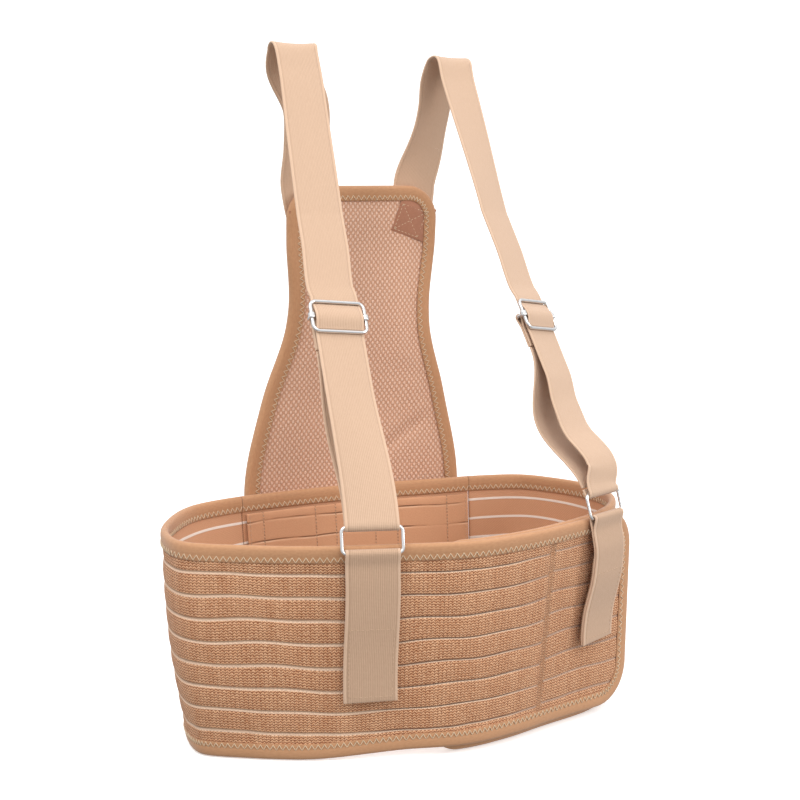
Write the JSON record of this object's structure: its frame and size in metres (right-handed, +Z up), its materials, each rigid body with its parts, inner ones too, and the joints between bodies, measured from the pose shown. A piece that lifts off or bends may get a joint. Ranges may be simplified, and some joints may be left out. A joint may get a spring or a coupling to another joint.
{
  "type": "back brace",
  "caption": "Elastic lumbar belt with an overlapping front closure, a tall back panel and two adjustable shoulder straps on rings and tabs.",
  "frame": {"origin": "middle of the footprint, on the surface that the belt stands on", "axes": "+Z up along the wearer's spine, -Y towards the wearer's belly, +X towards the wearer's left"},
  "size_m": [0.372, 0.239, 0.5012],
  "materials": {
    "elastic": "chunky woven elastic, tan",
    "lining": "smooth knitted lining, tan",
    "tape": "folded binding tape with zigzag stitch",
    "webbing": "fine ribbed elastic webbing, light beige",
    "airmesh": "open spacer mesh with pale dots",
    "cover": "smooth knitted cover",
    "patch": "dense twill, dusty brown",
    "hook": "hook tape",
    "stay": "flat spring steel",
    "chrome": "polished nickel-chrome wire"
  },
  "bodies": {
    "brace": {"right_wing_elastic": "elastic", "rear_elastic": "elastic", "left_wing_elastic": "elastic", "rear_lining": "lining", "belt_stay_1": "stay", "belt_stay_2": "stay", "belt_stay_3": "stay", "belt_stay_4": "stay", "belt_binding_top": "tape", "belt_binding_bottom": "tape", "left_wing_binding": "tape", "panel_airmesh": "airmesh", "panel_cover": "cover", "panel_binding": "tape", "panel_stay_right": "stay", "panel_stay_left": "stay", "strap_patch_right": "patch", "strap_patch_left": "patch", "strap_root_right": "webbing", "strap_root_left": "webbing"},
    "front_flap": {"flap_elastic": "elastic", "flap_binding": "tape", "flap_hook_patch": "hook"},
    "strap_right": {"shoulder_strap_right": "webbing", "strap_return_right": "webbing"},
    "slider_right": {"slider_frame_right": "chrome"},
    "slider_bar_right": {"slider_bar_right": "chrome", "strap_end_right": "webbing"},
    "ring_right": {"ring_right": "chrome"},
    "tab_right": {"tab_right": "webbing", "tab_hook_right": "hook"},
    "strap_left": {"shoulder_strap_left": "webbing", "strap_return_left": "webbing"},
    "slider_left": {"slider_frame_left": "chrome"},
    "slider_bar_left": {"slider_bar_left": "chrome", "strap_end_left": "webbing"},
    "ring_left": {"ring_left": "chrome"},
    "tab_left": {"tab_left": "webbing", "tab_hook_left": "hook"}
  },
  "joints": [
    {"name": "front_flap_open", "type": "hinge", "parent": "brace", "child": "front_flap", "pos_m": [0.06802, -0.10822, 0.155], "axis": [-0.0307, 0.097, -0.9948], "range_deg": [0, 75]},
    {"name": "strap_right_swing", "type": "hinge", "parent": "brace", "child": "strap_right", "pos_m": [-0.02443, 0.11461, 0.3975], "axis": [-1, 0, 0], "range_deg": [0, 80]},
    {"name": "slider_right_slide", "type": "slide", "parent": "strap_right", "child": "slider_right", "axis": [0.0828, 0.499, 0.8626], "range_m": [-0.02, 0.06], "deforming": ["strap_return_right"]},
    {"name": "slider_bar_right_shift", "type": "slide", "parent": "slider_right", "child": "slider_bar_right", "axis": [0.0828, 0.499, 0.8626], "range_m": [-0.005, 0.005]},
    {"name": "ring_right_swing", "type": "hinge", "parent": "strap_right", "child": "ring_right", "pos_m": [-0.07393, -0.09637, 0.16774], "axis": [-0.9395, 0.3425, 0], "range_deg": [0, 60]},
    {"name": "tab_right_peel", "type": "hinge", "parent": "ring_right", "child": "tab_right", "pos_m": [-0.07558, -0.10091, 0.1505], "axis": [-0.9395, 0.3425, 0], "range_deg": [0, 100]},
    {"name": "strap_left_swing", "type": "hinge", "parent": "brace", "child": "strap_left", "pos_m": [0.07557, 0.11461, 0.3975], "axis": [-1, 0, 0], "range_deg": [0, 80]},
    {"name": "slider_left_slide", "type": "slide", "parent": "strap_left", "child": "slider_left", "axis": [-0.1219, 0.4782, 0.8697], "range_m": [-0.02, 0.06], "deforming": ["strap_return_left"]},
    {"name": "slider_bar_left_shift", "type": "slide", "parent": "slider_left", "child": "slider_bar_left", "axis": [-0.1219, 0.4782, 0.8697], "range_m": [-0.005, 0.005]},
    {"name": "ring_left_swing", "type": "hinge", "parent": "strap_left", "child": "ring_left", "pos_m": [0.12038, -0.08779, 0.17274], "axis": [-0.9271, -0.3749, 0], "range_deg": [0, 60]},
    {"name": "tab_left_peel", "type": "hinge", "parent": "ring_left", "child": "tab_left", "pos_m": [0.12219, -0.09226, 0.1555], "axis": [-0.9271, -0.3749, 0], "range_deg": [0, 100]}
  ],
  "couplings": [
    {"joint": "strap_left_swing", "follows": "front_flap_open", "ratio": 0.6}
  ]
}
